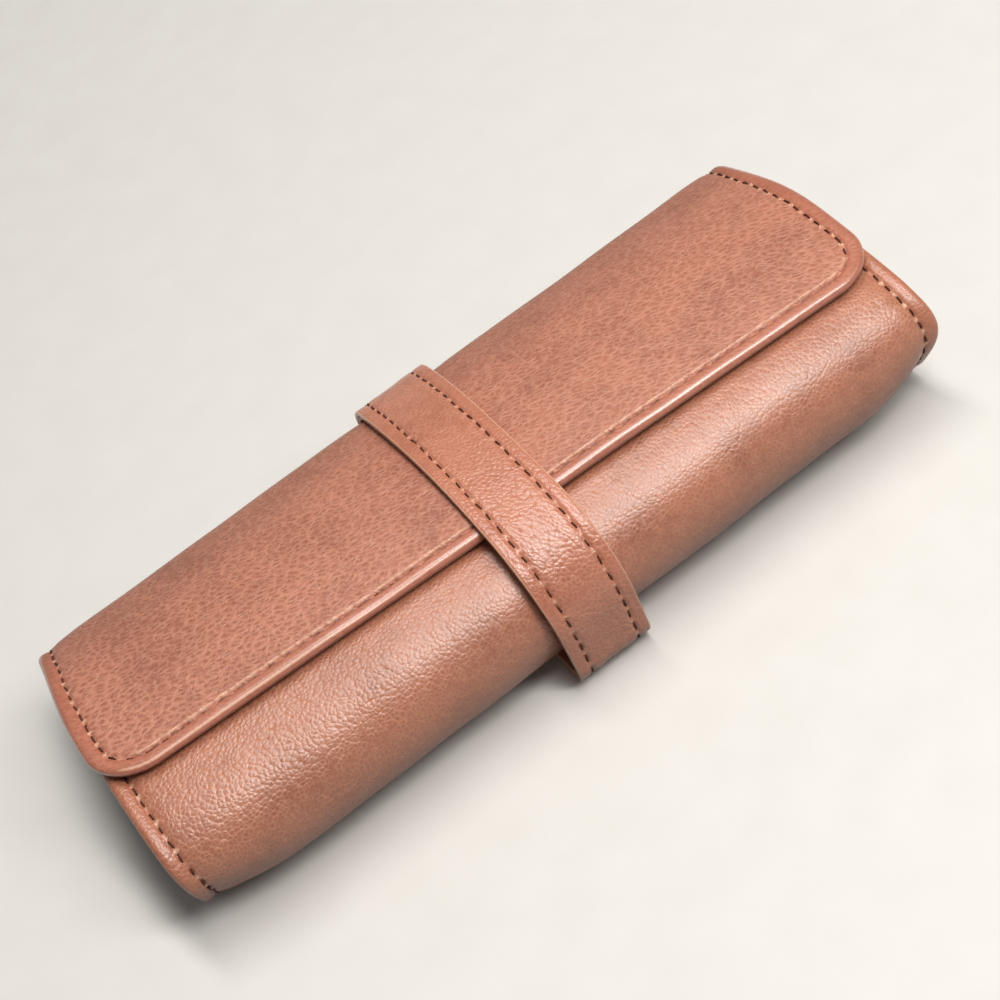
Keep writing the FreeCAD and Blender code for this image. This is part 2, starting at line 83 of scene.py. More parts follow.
# sizes of the scene's own, in millimetres: thread and how deep it lies, layers, the join of flap and wrap, end
# walls, the hinge's bend, the length over which a sheet's rows are spread, and the edge distance of what has no
# edge near by
THREAD_WIDTH, THREAD_HEIGHT, THREAD_ARCH = 0.34, 0.42, 0.42
SINK, FRONT_SINK, LAP_SINK = -0.1, 0.75, 0.34
LAYER_GAP, LINING_INSET, BAND_INNER_INSET = 0.02, 1.0, 0.12
BAND_STAGGER = 0.7
JOIN_BELOW = 3.0
WALL_DEPTH, WALL_START_MARK, WALL_TOP_MARK = 2.75, 0.6, 167.6
WALL_MIDDLE = (1.0, 15.0)
BEND_REACH, BEND_BELOW = 7.0, 2.5
FLAP_SPREAD, FRONT_SPREAD = 84.0, 92.0
EDGE_CAP, NO_EDGE = 20.0, 10.0

FRONT_MARK = LIP_RUN
BOTTOM_MARK = FRONT_MARK + FRONT_RUN
BACK_MARK = BOTTOM_MARK + BOTTOM_RUN
HINGE_MARK = BACK_MARK + HINGE_RUN
CROWN_MARK = BACK_MARK + BACK_RUN
JOIN_MARK = BACK_MARK - JOIN_BELOW
FLAP_LEFT_MARK = CROWN_MARK + FLAP_EDGE_LEFT
FLAP_RIGHT_MARK = CROWN_MARK + FLAP_EDGE_RIGHT
FLAP_SKEW = math.atan2(FLAP_RIGHT_MARK - FLAP_LEFT_MARK, 2 * HALF_LENGTH)


class BentLine:
    """A line in a plane: a start, a heading and runs of (length, radius), where radius 0 is straight.
    A point t along a run of curvature k lies t * sinc(k t / 2) from the run's start, in the mean heading."""

    def __init__(self, start, heading, runs):
        length = np.array([run[0] for run in runs], float)
        self.bend = np.array([1 / run[1] if run[1] else 0.0 for run in runs])
        self.marks = np.concatenate([[0.0], np.cumsum(length)])
        self.length = self.marks[-1]
        self.heading = heading + np.concatenate([[0.0], np.cumsum(length * self.bend)])[:-1]
        half = length * self.bend / 2
        reach = length * np.sinc(half / np.pi)
        step = np.stack([reach * np.cos(self.heading + half), reach * np.sin(self.heading + half)], 1)
        self.corner = np.array(start, float) + np.concatenate([np.zeros((1, 2)), np.cumsum(step, 0)])[:-1]

    def at(self, mark):
        """Both coordinates and the heading at the lengths given."""
        run = np.clip(np.searchsorted(self.marks, mark, side="right") - 1, 0, len(self.bend) - 1)
        t = mark - self.marks[run]
        half = t * self.bend[run] / 2
        reach = t * np.sinc(half / np.pi)
        way = self.heading[run] + half
        first = self.corner[run, 0] + reach * np.cos(way)
        second = self.corner[run, 1] + reach * np.sin(way)
        return first, second, way + half


SKIN = BentLine(LIP_START, math.radians(LIP_HEADING), [
    (LIP_RUN, LIP_RADIUS), (FRONT_RUN, FRONT_RADIUS), (BOTTOM_RUN, 0), (BACK_RUN, BACK_RADIUS),
    (CROWN_RUN, CROWN_RADIUS)])
BAND_LINE = BentLine(BAND_START, 0.0, BAND_RUNS)


def ease(low, high, value):
    """Nought below low, one above high, and the cubic 3 t t - 2 t t t between."""
    t = np.clip((value - low) / (high - low), 0, 1)
    return t * t * (3 - 2 * t)


def hump(value, middle, width):
    """The bell exp(-(v - middle)^2 / width^2)."""
    return np.exp(-((value - middle) / width) ** 2)


def flared(x, mark):
    """Places along the case with its ends let out: most at the front and over the flap, least below and behind.
    The share let out grows as the fifth power of the place."""
    left = np.less(x, 0)
    front = 1.2 * (1 - ease(20, 36, mark)) + np.where(left, 0.0, 1.3) * hump(mark, 27, 7)
    flap = np.where(left, 1.8, 0.7) * ease(CROWN_MARK - 4, FLAP_LEFT_MARK - 5, mark)
    crown = np.where(left, 0.5, 0.9) * hump(mark, 150, 14)
    return x + (front + flap + crown) * (x / HALF_LENGTH) ** 5


def on_skin(line, x, mark, height):
    """Points a height off a section line, outward, at places along the case."""
    y, z, heading = line.at(mark)
    x = flared(x, mark) if line is SKIN else x
    y = y + height * np.sin(heading)
    z = z - height * np.cos(heading)
    return np.stack(np.broadcast_arrays(x, y, z), -1)


def new_piece(name, points, faces, finish, skin=None, marks=None, flat_from=None):
    """A mesh from points in millimetres. Its faces are turned round where the volume they enclose,
    the sum of the corner products over all triangles, comes out below nought."""
    fan = [np.stack([f[:, 0], f[:, k], f[:, k + 1]], 1) for f in faces for k in range(1, f.shape[1] - 1)]
    corners = points[np.concatenate(fan)]
    volume = np.einsum("ij,ij->", corners[:, 0], np.cross(corners[:, 1], corners[:, 2]))
    if volume < 0:
        faces = [f[:, ::-1] for f in faces]
    mesh = bpy.data.meshes.new(name)
    mesh.from_pydata((points * MM).tolist(), [], [row for f in faces for row in f.tolist()])
    smooth = np.ones(len(mesh.polygons), bool)
    if flat_from is not None:
        smooth[flat_from:] = False
    mesh.polygons.foreach_set("use_smooth", smooth)
    loops = np.zeros(len(mesh.loops), np.int32)
    mesh.loops.foreach_get("vertex_index", loops)
    if skin is not None:
        layer = mesh.uv_layers.new(name="skin")
        layer.uv.foreach_set("vector", skin[loops].astype(np.float32).ravel())
    for key, value in (marks or {}).items():
        mesh.attributes.new(key, "FLOAT", "POINT").data.foreach_set("value", value.astype(np.float32).ravel())
    mesh.materials.append(finish)
    piece = bpy.data.objects.new(name, mesh)
    bpy.context.scene.collection.objects.link(piece)
    return piece


def grid_faces(index):
    """Four-cornered faces between the neighbours of a grid of point numbers."""
    return np.stack([index[:-1, :-1], index[1:, :-1], index[1:, 1:], index[:-1, 1:]], -1).reshape(-1, 4)


# Sewing: where the stitches lie, and what they do to the leather

def stitch_marks(length, pitch):
    """Middles of stitches set evenly along a run, with half a pitch left at both ends."""
    count = int(length // pitch)
    return (np.arange(count) + 0.5) * (length / count)


def by_hand(x, mark, heading, seed):
    """Places and headings of a row with the small seeded unevenness of a sewn one."""
    draw = np.random.default_rng(seed)
    along = draw.uniform(-0.2, 0.2, len(x))
    across = draw.uniform(-0.09, 0.09, len(x))
    x = x + along * np.cos(heading) - across * np.sin(heading)
    mark = mark + along * np.sin(heading) + across * np.cos(heading)
    return np.stack([x, mark], 1), heading + draw.uniform(-0.13, 0.13, len(x))


def straight_row(x, start, end, seed):
    """Stitches up one end of the case, as places (x, mark) and headings on the leather laid flat. The border
    lies on the left of the heading."""
    marks = start + stitch_marks(end - start, STITCH_PITCH)
    return by_hand(np.full_like(marks, x), marks, np.full_like(marks, -math.copysign(math.pi / 2, x)), seed)


def flap_row():
    """Stitches round three sides of the flap, a line bent round both corners at the seam's inset."""
    side = HALF_LENGTH - SEAM_INSET
    bend = FLAP_CORNER - SEAM_INSET
    left_turn = math.pi / 2 - FLAP_SKEW
    right_turn = math.pi / 2 + FLAP_SKEW
    left_run = flap_line_mark(-side) - SEAM_INSET - bend * math.tan(left_turn / 2) - HINGE_MARK
    right_run = flap_line_mark(side) - SEAM_INSET - bend * math.tan(right_turn / 2) - HINGE_MARK
    front = 2 * side / math.cos(FLAP_SKEW) - bend * (math.tan(left_turn / 2) + math.tan(right_turn / 2))
    line = BentLine((-side, HINGE_MARK), math.pi / 2, [
        (left_run, 0), (bend * left_turn, -bend), (front, 0), (bend * right_turn, -bend), (right_run, 0)])
    return by_hand(*line.at(stitch_marks(line.length, STITCH_PITCH)), seed=3)


def lip_row():
    """Stitches along the lip, short of the tabs at its ends."""
    side = LIP_TAB_START - 1.0
    x = stitch_marks(2 * side, STITCH_PITCH) - side
    return by_hand(x, np.full_like(x, SEAM_INSET), np.full_like(x, math.pi), seed=4)


def end_rows(start, end, seeds):
    """Rows of stitches up the left and the right end, between two marks."""
    side = HALF_LENGTH - SEAM_INSET
    return {"left": straight_row(-side, start, end, seeds[0]),
            "right": straight_row(side, start, end, seeds[1])}


def front_rows():
    """The end rows of the front and the underside, from the lip's tabs to the join."""
    return end_rows(SEAM_INSET - LIP_TAB, JOIN_MARK, seeds=(5, 6))


def back_rows():
    """The end rows of the back, from the join to the hinge line."""
    return end_rows(JOIN_MARK, HINGE_MARK, seeds=(7, 8))


def flap_line_mark(x):
    """Mark of the flap's straight front edge, which runs a little askew."""
    return FLAP_LEFT_MARK + (FLAP_RIGHT_MARK - FLAP_LEFT_MARK) * (x + HALF_LENGTH) / (2 * HALF_LENGTH)


def sewn_relief(x, mark, places, headings):
    """Height that the stitches give the leather: each presses a dent along its thread, sinks a hole at both
    ends and leaves a pucker halfway to the next. All are bells in the stitch's own directions, added up."""
    dx = x.ravel()[:, None] - places[None, :, 0]
    dm = mark.ravel()[:, None] - places[None, :, 1]
    along = dx * np.cos(headings) + dm * np.sin(headings)
    across = dm * np.cos(headings) - dx * np.sin(headings)
    dent = np.exp(-(along / 1.05) ** 4 - (across / 0.36) ** 2)
    hole = np.exp(-((np.abs(along) - STITCH_LENGTH / 2) / 0.28) ** 2 - (across / 0.34) ** 2)
    pucker = np.exp(-((np.abs(along) - STITCH_PITCH / 2) / 0.34) ** 2 - ((across + 0.15) / 0.46) ** 2)
    height = (-0.14 * dent - 0.2 * hole + 0.12 * pucker).sum(1)
    # The pucker and hole bells go out too; they carry a painted highlight on the puckers and painted shade in
    # the holes.
    return [part.reshape(x.shape) for part in (height, pucker.sum(1), hole.sum(1))]


def seam_relief(distance):
    """Height across a seam by the distance from the cut edge: a groove at the inset, a domed border outside
    it and a soft roll of the panel inside."""
    q = distance - SEAM_INSET
    groove = -0.22 * hump(q, 0, 0.44)
    border = 0.03 * np.clip(1 - ((distance - 1.5) / 1.5) ** 2, 0, 1)
    roll = 0.09 * hump(q, 1.7, 1.2)
    return groove + border + roll


def front_share(x, mark):
    """One along the flap's front edge and nought along its ends, eased over the corners between."""
    end = HALF_LENGTH - np.abs(x)
    edge = (flap_line_mark(x) - mark) * math.cos(FLAP_SKEW)
    return ease(-4, 4, end - edge)


def front_fold(x, distance):
    """Height, paleness and darkness along the flap's front seam: the groove is deeper there and the panel's rim
    stands up over it in a line made ragged by three sines of the place along it. The paleness is a painted
    highlight on the rim's line and on the rounded edge, most towards the left; the darkness is painted shade
    in the groove."""
    q = distance - SEAM_INSET
    ragged = (1 + 0.3 * np.sin(2 * math.pi * x / STITCH_PITCH) + 0.2 * np.sin(4.1 * x)
              + 0.2 * np.sin(1.3 * x + 2))
    height = -0.34 * hump(q, -0.1, 0.34) + 0.12 * ragged * hump(q, 0.48, 0.26)
    # painted highlight along the rounded edge, stronger towards the left end
    edge_highlight = 0.66 + 0.5 * (1 - ease(-60, 10, x))
    pale = 0.45 * (1 + ragged) * hump(q, 0.44, 0.28) + edge_highlight * hump(distance, 0.62, 0.3)
    return height, pale, 1.1 * ragged * hump(q, -0.05, 0.2)


def swell(x, mark, seed, size):
    """Slow unevenness of worked leather: nine waves of 14 to 60 mm in seeded directions, averaged."""
    count = 9
    draw = np.random.default_rng(seed)
    way = draw.uniform(0, math.pi, count)
    number = 2 * math.pi / draw.uniform(14, 60, count)
    phase = draw.uniform(0, 2 * math.pi, count)
    wave = np.sin(number * (x[..., None] * np.cos(way) + mark[..., None] * np.sin(way)) + phase)
    return size * wave.mean(-1)


def pinch_creases(x, mark, seed):
    """Creases that fan out from both edges of the band over the flap: narrow valleys along slanting lines,
    deepest by the band and running out after 8 to 20 mm."""
    draw = np.random.default_rng(seed)
    height = np.zeros(x.shape)
    for side in (-1, 1):
        edge = BAND_MIDDLE + side * BAND_HALF
        starts = np.arange(CROWN_MARK - 8, CROWN_MARK + 46, 3.1)
        for start in starts + draw.uniform(-1.2, 1.2, len(starts)):
            slope = draw.uniform(-0.55, 0.1) * side
            reach = draw.uniform(8, 20)
            out = side * (x - edge)
            off = mark - start - slope * side * out - 0.6 * np.sin(out / 3 + start)
            height -= draw.uniform(0.03, 0.09) * hump(off, 0, 0.55) * np.exp(-(out / reach) ** 2) * (out > -6)
    return height


def end_pull(x):
    """How far the seam draws the leather in towards the end wall, by the distance from the end."""
    end = HALF_LENGTH - np.abs(x)
    return -0.38 * hump(end, 3.1, 1.7) - 0.30 * (1 - ease(2.5, 10, end))


def waist(x):
    """The slight waist that the band gives the case."""
    return -0.25 * hump(x, BAND_MIDDLE, 12)


def case_shift(x, mark):
    """Movement of the whole wrap's thickness: drawn in at the ends, most at the foot of the front."""
    tuck = -2.3 * hump(mark, FRONT_MARK + 24, 9) * (1 - ease(0, 18, HALF_LENGTH - np.abs(x)))
    return end_pull(x) + waist(x) + tuck


def flap_shift(x, mark):
    """Movement of the flap's thickness: the back is drawn in as the wrap is, the flap itself much less."""
    loose = ease(HINGE_MARK - 4, HINGE_MARK + 10, mark)
    return end_pull(x) * (1 - 0.62 * loose) + waist(x)


# Leather sheets

ROUND_STEPS = np.array([
    0, .03, .12, .27, .47, .72, 1.0, 1.3, 1.65, 2.0, 2.3, 2.55, 2.8, 3.0, 3.2, 3.45, 3.7, 4.05, 4.5])


def steps_from_edge(length, step):
    """Distances from a cut edge: close together over its round and its seam, then even."""
    count = int(math.ceil((length - ROUND_STEPS[-1]) / step))
    return np.concatenate([ROUND_STEPS, np.linspace(ROUND_STEPS[-1], length, count + 1)[1:]])


def columns_along(step, inset):
    """Places along the case, close together at both ends."""
    half = steps_from_edge(HALF_LENGTH - inset, step)
    return np.concatenate([half - (HALF_LENGTH - inset), (HALF_LENGTH - inset) - half[-2::-1]])


def corner_distance(end, edge, radius):
    """Distance to a cut outline with round corners, from the distances to its end and to its edge."""
    inside = (end < radius) & (edge < radius)
    return np.where(inside, radius - np.hypot(radius - end, radius - edge), np.minimum(end, edge))


def corner_cut(end, radius):
    """How far the round corner takes the edge back at a distance from the end."""
    away = np.clip(radius - end, 0, radius)
    return radius - np.sqrt(radius ** 2 - away ** 2)


def leather_sheet(name, finish, x, mark, distance, depth, thick, shift, relief, wear_and_shade, marks):
    """A closed sheet wrapped on the section line. Its two faces stand half its thickness off its middle; near
    the cut edge that half falls as a quarter ellipse, a wide one outside and a circle inside, so that the faces
    meet in a round edge. The last row is the join, closed by a flat cap. Relief is added to the outer face."""
    half_outer, half_inner = (thick / 2 * np.sqrt(1 - (1 - np.clip(distance / reach, 0, 1)) ** 2)
                              for reach in (0.62 * thick, 0.5 * thick))
    middle = -(depth + thick / 2) + shift
    settled = np.clip(distance / 0.8, 0, 1)
    columns, rows = mark.shape
    outer = np.arange(columns * rows).reshape(columns, rows)
    inner = outer.copy()
    own = np.zeros(outer.shape, bool)
    own[1:-1, 1:] = True
    inner[own] = columns * rows + np.arange(own.sum())
    outer_points = on_skin(SKIN, x, mark, middle + half_outer + relief * settled)
    inner_points = on_skin(SKIN, x, mark, middle - half_inner)
    points = np.concatenate([outer_points.reshape(-1, 3), inner_points[own]])
    flat = np.stack(np.broadcast_arrays(x, mark), -1)
    skin = np.concatenate([flat.reshape(-1, 2), flat[own]])
    cap = np.stack([outer[:-1, -1], inner[:-1, -1], inner[1:, -1], outer[1:, -1]], -1)
    faces = grid_faces(outer), grid_faces(inner)[:, ::-1], cap[1:-1, ::-1]
    first = np.stack([outer[0, -1], inner[1, -1], outer[1, -1]])[None]
    last = np.stack([outer[-1, -1], outer[-2, -1], inner[-2, -1]])[None]
    held = {key: np.concatenate([value.ravel(), value[own]]) for key, value in marks.items()}
    # painted shade: all of the inner face, the cut edge at 0.6 and the outer face by the given share
    held["dim"] = np.concatenate([np.where(distance > 0, wear_and_shade, 0.6).ravel(), np.ones(own.sum())])
    return new_piece(name, points, [*faces, first[:, ::-1], last[:, ::-1]], finish, skin, held,
                     flat_from=len(faces[0]) + len(faces[1]))


def flap_sheet(name, finish, step, depth, thick, inset, sewn):
    """The flap and the back below it, from its front edge down to the join under the case."""
    x = columns_along(step, inset)[:, None]
    end = HALF_LENGTH - inset - np.abs(x)
    line = flap_line_mark(x) - inset
    radius = FLAP_CORNER - inset
    free = line - corner_cut(end, radius) / math.cos(FLAP_SKEW)
    rows = steps_from_edge(FLAP_SPREAD, step)[None, :] / FLAP_SPREAD
    mark = free + (JOIN_MARK - free) * rows
    distance = corner_distance(end, (line - mark) * math.cos(FLAP_SKEW), radius)
    x = np.broadcast_to(x, mark.shape)
    relief, pucker, hole = np.zeros((3, *mark.shape))
    if sewn:
        rows = [flap_row(), *back_rows().values()]
        places, headings = (np.concatenate(part) for part in zip(*rows))
        relief, pucker, hole = sewn_relief(x, mark, places, headings)
        share = front_share(x, mark)
        fold, rim, groove_shade = front_fold(x, distance)
        relief = (relief + seam_relief(distance) + swell(x, mark, seed=11, size=0.32)
                  + pinch_creases(x, mark, seed=5) + share * fold)
        # Puckers and the front rim's line carry a painted highlight; holes and the front groove carry painted
        # shade.
        pucker = np.maximum(pucker * (1 - 0.6 * share), share * rim)
        hole = np.maximum(hole * (1 - 0.5 * share), share * groove_shade)
    # share of painted shade over the back of the flap, falling away over the crown
    wear_and_shade = 0.3 * (1 - ease(CROWN_MARK - 2, CROWN_MARK + 16, mark))
    marks = {"edge": np.clip(distance, 0, EDGE_CAP), "rub_and_highlight": pucker, "hole": hole}
    shift = flap_shift(x, mark)
    return leather_sheet(name, finish, x, mark, distance, depth, thick, shift, relief, wear_and_shade, marks)


def case_sheet(name, finish, step, depth, thick, inset, sewn):
    """The lip, the front and the underside of the wrap, from the lip's edge to the join under the case."""
    x = columns_along(step, inset)[:, None]
    end = HALF_LENGTH - inset - np.abs(x)
    radius = LIP_CORNER
    edge = inset - LIP_TAB * ease(LIP_TAB_START, LIP_TAB_START + 6, np.abs(x))
    free = edge + corner_cut(end, radius)
    rows = steps_from_edge(FRONT_SPREAD, step)[None, :] / FRONT_SPREAD
    mark = free + (JOIN_MARK - free) * rows
    distance = corner_distance(end, mark - edge, radius)
    x = np.broadcast_to(x, mark.shape)
    relief, pucker, hole = np.zeros((3, *mark.shape))
    if sewn:
        rows = [lip_row(), *front_rows().values()]
        places, headings = (np.concatenate(part) for part in zip(*rows))
        relief, pucker, hole = sewn_relief(x, mark, places, headings)
        relief = relief + seam_relief(distance) + swell(x, mark, seed=23, size=0.36) * ease(6, 16, mark)
    # The puckers carry a painted highlight and the holes painted shade.
    marks = {"edge": np.clip(distance, 0, EDGE_CAP), "rub_and_highlight": pucker, "hole": hole}
    shift = case_shift(x, mark)
    return leather_sheet(name, finish, x, mark, distance, depth, thick, shift, relief, 0.0, marks)


# Thread

def thread_row(name, finish, centre, along, up, length, width, height):
    """A row of stitches. One stitch is a tube round a line that arches as 1 - t^4 above its ends, and its
    girth falls as the fourth root of 1 - t^6 to a point at both ends. All are placed at once."""
    t = np.array([-1, -0.88, -0.5, 0, 0.5, 0.88, 1])
    rings, sides = len(t) - 2, 6
    turn = np.arange(sides) * math.pi / (sides / 2)
    girth = np.clip(1 - t[1:-1] ** 6, 0, 1) ** 0.25
    arch = THREAD_ARCH * (1 - t ** 4) - THREAD_ARCH
    run = np.repeat(t[1:-1] * length / 2, sides)
    side = (girth[:, None] * np.cos(turn) * width / 2).ravel()
    rise = (girth[:, None] * np.sin(turn) * height / 2 + arch[1:-1, None]).ravel()
    tips = [[-length / 2, 0, arch[0]], [length / 2, 0, arch[-1]]]
    form = np.concatenate([np.stack([run, side, rise], 1), tips])
    across = np.cross(up, along)
    drawn = along * np.random.default_rng(len(centre)).uniform(0.8, 1.12, len(centre))[:, None]
    points = (centre[:, None] + form[None, :, :1] * drawn[:, None] + form[None, :, 1:2] * across[:, None]
              + form[None, :, 2:] * up[:, None])
    ring = np.arange(rings * sides).reshape(rings, sides)
    ring = np.concatenate([ring, ring[:, :1]], 1)
    quads = grid_faces(ring)
    first = np.stack([ring[0, :-1], ring[0, 1:], np.full(sides, rings * sides)], 1)
    last = np.stack([ring[-1, 1:], ring[-1, :-1], np.full(sides, rings * sides + 1)], 1)
    offset = (np.arange(len(centre)) * len(form))[:, None, None]
    faces = [(offset + part[None]).reshape(-1, part.shape[1]) for part in (quads, first, last)]
    lay = np.concatenate([np.stack([run, np.tile(turn, rings)], 1), [[-length / 2, 0], [length / 2, 0]]])
    return new_piece(name, points.reshape(-1, 3), faces, finish, np.tile(lay, (len(centre), 1)))


def skin_row(name, finish, line, places, headings, height):
    """Stitches at places on the wrapped leather: the flat directions are carried to the section line."""
    heading = line.at(places[:, 1])[2]
    nought = np.zeros_like(heading)
    up = np.stack([nought, np.sin(heading), -np.cos(heading)], 1)
    forward = np.stack([nought, np.cos(heading), np.sin(heading)], 1)
    side = np.array([[1.0, 0, 0]])
    along = side * np.cos(headings)[:, None] + forward * np.sin(headings)[:, None]
    centre = on_skin(line, *places.T, height)
    return thread_row(name, finish, centre, along, up, STITCH_LENGTH, THREAD_WIDTH, THREAD_HEIGHT)


# Ring band

def band_settle(mark):
    """How far the band beds down on the case over the back and the top."""
    return 0.14 + 0.16 * ease(36, 56, mark) * (1 - ease(158, 166, mark))


def ring_piece(name, finish, low, high, half_width, sewn):
    """A closed ring: a flat profile with rounded edges carried along the band's section line. The profile is
    a loop across the top, over one edge, back underneath and over the other edge."""
    bevel, count = 0.3, 420
    above, below, beside = 57, 21, 7
    across = np.linspace(-1, 1, above) * (half_width - bevel)
    turn = np.linspace(math.pi / 2, -math.pi / 2, beside + 2)[1:-1]
    rise = np.sin(turn)
    middle, half = (low + high) / 2, (high - low) / 2
    under = np.linspace(1, -1, below) * (half_width - bevel)
    edge_x = half_width - bevel + bevel * np.cos(turn)
    edge_n = middle + (half - bevel) * np.sign(rise) * (np.abs(rise) > 0.01) + bevel * rise
    edge_top = 0.5 + 0.5 * rise
    profile_x = np.concatenate([across, edge_x, under, -edge_x[::-1]])
    profile_n = np.concatenate([np.full(above, high), edge_n, np.full(below, low), edge_n[::-1]])
    top = np.concatenate([np.ones(above), edge_top, np.zeros(below), edge_top[::-1]])
    raw = np.concatenate([np.zeros(above), np.ones(beside), np.zeros(below), np.ones(beside)])
    mark = np.arange(count) * (BAND_LINE.length / count)
    x = np.broadcast_to(profile_x, (count, len(profile_x)))
    along = np.broadcast_to(mark[:, None], x.shape)
    distance = half_width - np.abs(x)
    relief, pucker, hole = np.zeros((3, *x.shape))
    if sewn:
        places, headings = (np.concatenate(part) for part in zip(*band_rows().values()))
        relief, pucker, hole = sewn_relief(x + BAND_MIDDLE, along, places, headings)
        seam = seam_relief(distance + SEAM_INSET - (BAND_HALF - BAND_SEAM))
        relief = 0.8 * relief + seam + swell(x, along, seed=31, size=0.12)
    wave = 0.12 * np.sin(along * 2 * math.pi / BAND_LINE.length * 3 + 1) * np.sign(profile_x)
    place = x + BAND_MIDDLE + wave * (np.abs(x) / half_width)
    points = on_skin(BAND_LINE, place, along, profile_n - band_settle(along) + relief * top)
    index = np.arange(x.size).reshape(x.shape)
    index = np.concatenate([index, index[:1]])
    index = np.concatenate([index, index[:, :1]], 1)
    # On the top face the puckers carry a painted highlight and the holes painted shade.
    marks = {"edge": np.clip(distance, 0, EDGE_CAP), "rub_and_highlight": 0.6 * pucker * top, "hole": hole * top,
             "raw": np.broadcast_to(raw, x.shape)}
    piece = new_piece(name, points.reshape(-1, 3), [grid_faces(index)], finish, None, marks)
    lay_flat_ring(piece, x, along, count)
    return piece


def lay_flat_ring(piece, x, along, count):
    """The ring's flat map, by corners, so that the last strip runs on to the full length."""
    mesh = piece.data
    corner = np.zeros(len(mesh.loops), np.int32)
    mesh.loops.foreach_get("vertex_index", corner)
    row = corner // x.shape[1]
    last = np.repeat((row.reshape(-1, 4) == count - 1).any(1) & (row.reshape(-1, 4) == 0).any(1), 4)
    run = along.ravel()[corner] + np.where(last & (row == 0), BAND_LINE.length, 0)
    layer = mesh.uv_layers.new(name="skin")
    layer.uv.foreach_set("vector", np.stack([x.ravel()[corner], run], 1).astype(np.float32).ravel())


def band_rows():
    """Both rows of the band, from the back over the top to the fold at the foot of the front."""
    marks = BAND_SEWN[0] + stitch_marks(BAND_SEWN[1] - BAND_SEWN[0], STITCH_PITCH)
    quarter = np.full_like(marks, math.pi / 2)
    left = by_hand(np.full_like(marks, BAND_MIDDLE - BAND_SEAM), marks, quarter, seed=9)
    right = by_hand(np.full_like(marks, BAND_MIDDLE + BAND_SEAM), marks + BAND_STAGGER, -quarter, seed=10)
    return {"left": left, "right": right}


# Shader writing

class Signal:
    """A socket of a finish; arithmetic on it adds Math nodes."""

    def __init__(self, finish, socket):
        self.finish, self.socket = finish, socket

    def math(self, operation, first, second):
        """One Math node on two values, either of which may be a plain number."""
        return self.finish.node("Math", {"operation": operation}, {0: first, 1: second})

    def __add__(self, other): return self.math("ADD", self, other)
    def __radd__(self, other): return self.math("ADD", other, self)
    def __sub__(self, other): return self.math("SUBTRACT", self, other)
    def __rsub__(self, other): return self.math("SUBTRACT", other, self)
    def __mul__(self, other): return self.math("MULTIPLY", self, other)
    def __rmul__(self, other): return self.math("MULTIPLY", other, self)


class Studio:
    """A node tree being written, round one shader whose steady values are set on its own sockets."""

    def __init__(self, tree, shader, steady):
        self.tree = tree
        self.shader = tree.nodes[shader]
        for socket, value in steady.items():
            self.shader.inputs[socket].default_value = value

    def feed(self, socket, value):
        """Links a signal to a socket, or sets a plain value on it."""
        if isinstance(value, Signal):
            self.tree.links.new(value.socket, socket)
        else:
            socket.default_value = value

    def node(self, kind, settings, sockets, out=0):
        """One node: its settings first, then its sockets by name or number."""
        made = self.tree.nodes.new("ShaderNode" + kind)
        for key, value in settings.items():
            setattr(made, key, value)
        for key, value in sockets.items():
            self.feed(made.inputs[key], value)
        return Signal(self, made.outputs[out])

    def seen(self, gloss):
        """One on a ray from the camera or through glass, and a share of one on a ray off a gloss."""
        camera, off, through = (self.node("LightPath", {}, {}, "Is " + way + " Ray")
                                for way in ("Camera", "Glossy", "Transmission"))
        return camera + off * gloss + through


class Finish(Studio):
    """A material being written, on one Principled shader."""

    def __init__(self, name, steady):
        self.material = bpy.data.materials.new(name)
        self.material.use_nodes = True
        super().__init__(self.material.node_tree, "Principled BSDF", steady)

    def mark(self, name):
        """A value that the mesh carries at its points."""
        return self.node("Attribute", {"attribute_name": name}, {}, "Fac")

    def noise(self, vector, scale, detail=2.0, rough=0.5, out="Fac"):
        """Fractal noise of nought to one, about a half."""
        sockets = {"Vector": vector, "Scale": scale, "Detail": detail, "Roughness": rough}
        return self.node("TexNoise", {}, sockets, out)

    def cells(self, vector, feature, scale):
        """A distance in a flat network of cells, to their seeds or to their edges."""
        settings = {"voronoi_dimensions": "2D", "feature": feature}
        return self.node("TexVoronoi", settings, {"Vector": vector, "Scale": scale})

    def ease(self, value, low, high):
        """Nought below low, one above high, and a cubic between."""
        return self.node("MapRange", {"interpolation_type": "SMOOTHSTEP"}, {0: value, 1: low, 2: high})

    def mix(self, share, first, second):
        """The first colour, and a share of the second in place of it."""
        return self.node("Mix", {"data_type": "RGBA"}, {0: share, 6: first, 7: second}, 2)

    def vector(self, operation, first, second):
        """One Vector Math node on two vectors."""
        return self.node("VectorMath", {"operation": operation}, {0: first, 1: second})

    def shade(self, colour, rough, height, relief):
        """Links colour and roughness, and a bump whose height of one stands for a relief in millimetres."""
        self.feed(self.shader.inputs["Base Color"], colour)
        self.feed(self.shader.inputs["Roughness"], rough)
        bump = self.node("Bump", {}, {"Distance": relief * MM, "Height": height})
        self.feed(self.shader.inputs["Normal"], bump)
        return self.material


def tone(red, green, blue):
    """An sRGB colour of 0 to 255 as linear light."""
    share = np.array([red, green, blue]) / 255
    linear = np.where(share <= 0.04045, share / 12.92, ((share + 0.055) / 1.055) ** 2.4)
    return (*linear.tolist(), 1.0)


# The first colour is a painted highlight, partly rubbed wear, on puckers, the front seam's rim and the flap's
# rounded edge; the second is painted shade in needle holes and the front seam's groove; the third is painted
# shade on the leather's underside, its cut edge and the back of the flap.
RUB_AND_HIGHLIGHT, HOLE_SHADE, SHADED = tone(238, 190, 160), tone(78, 42, 30), tone(98, 55, 40)
RAW_EDGE = tone(226, 184, 154)


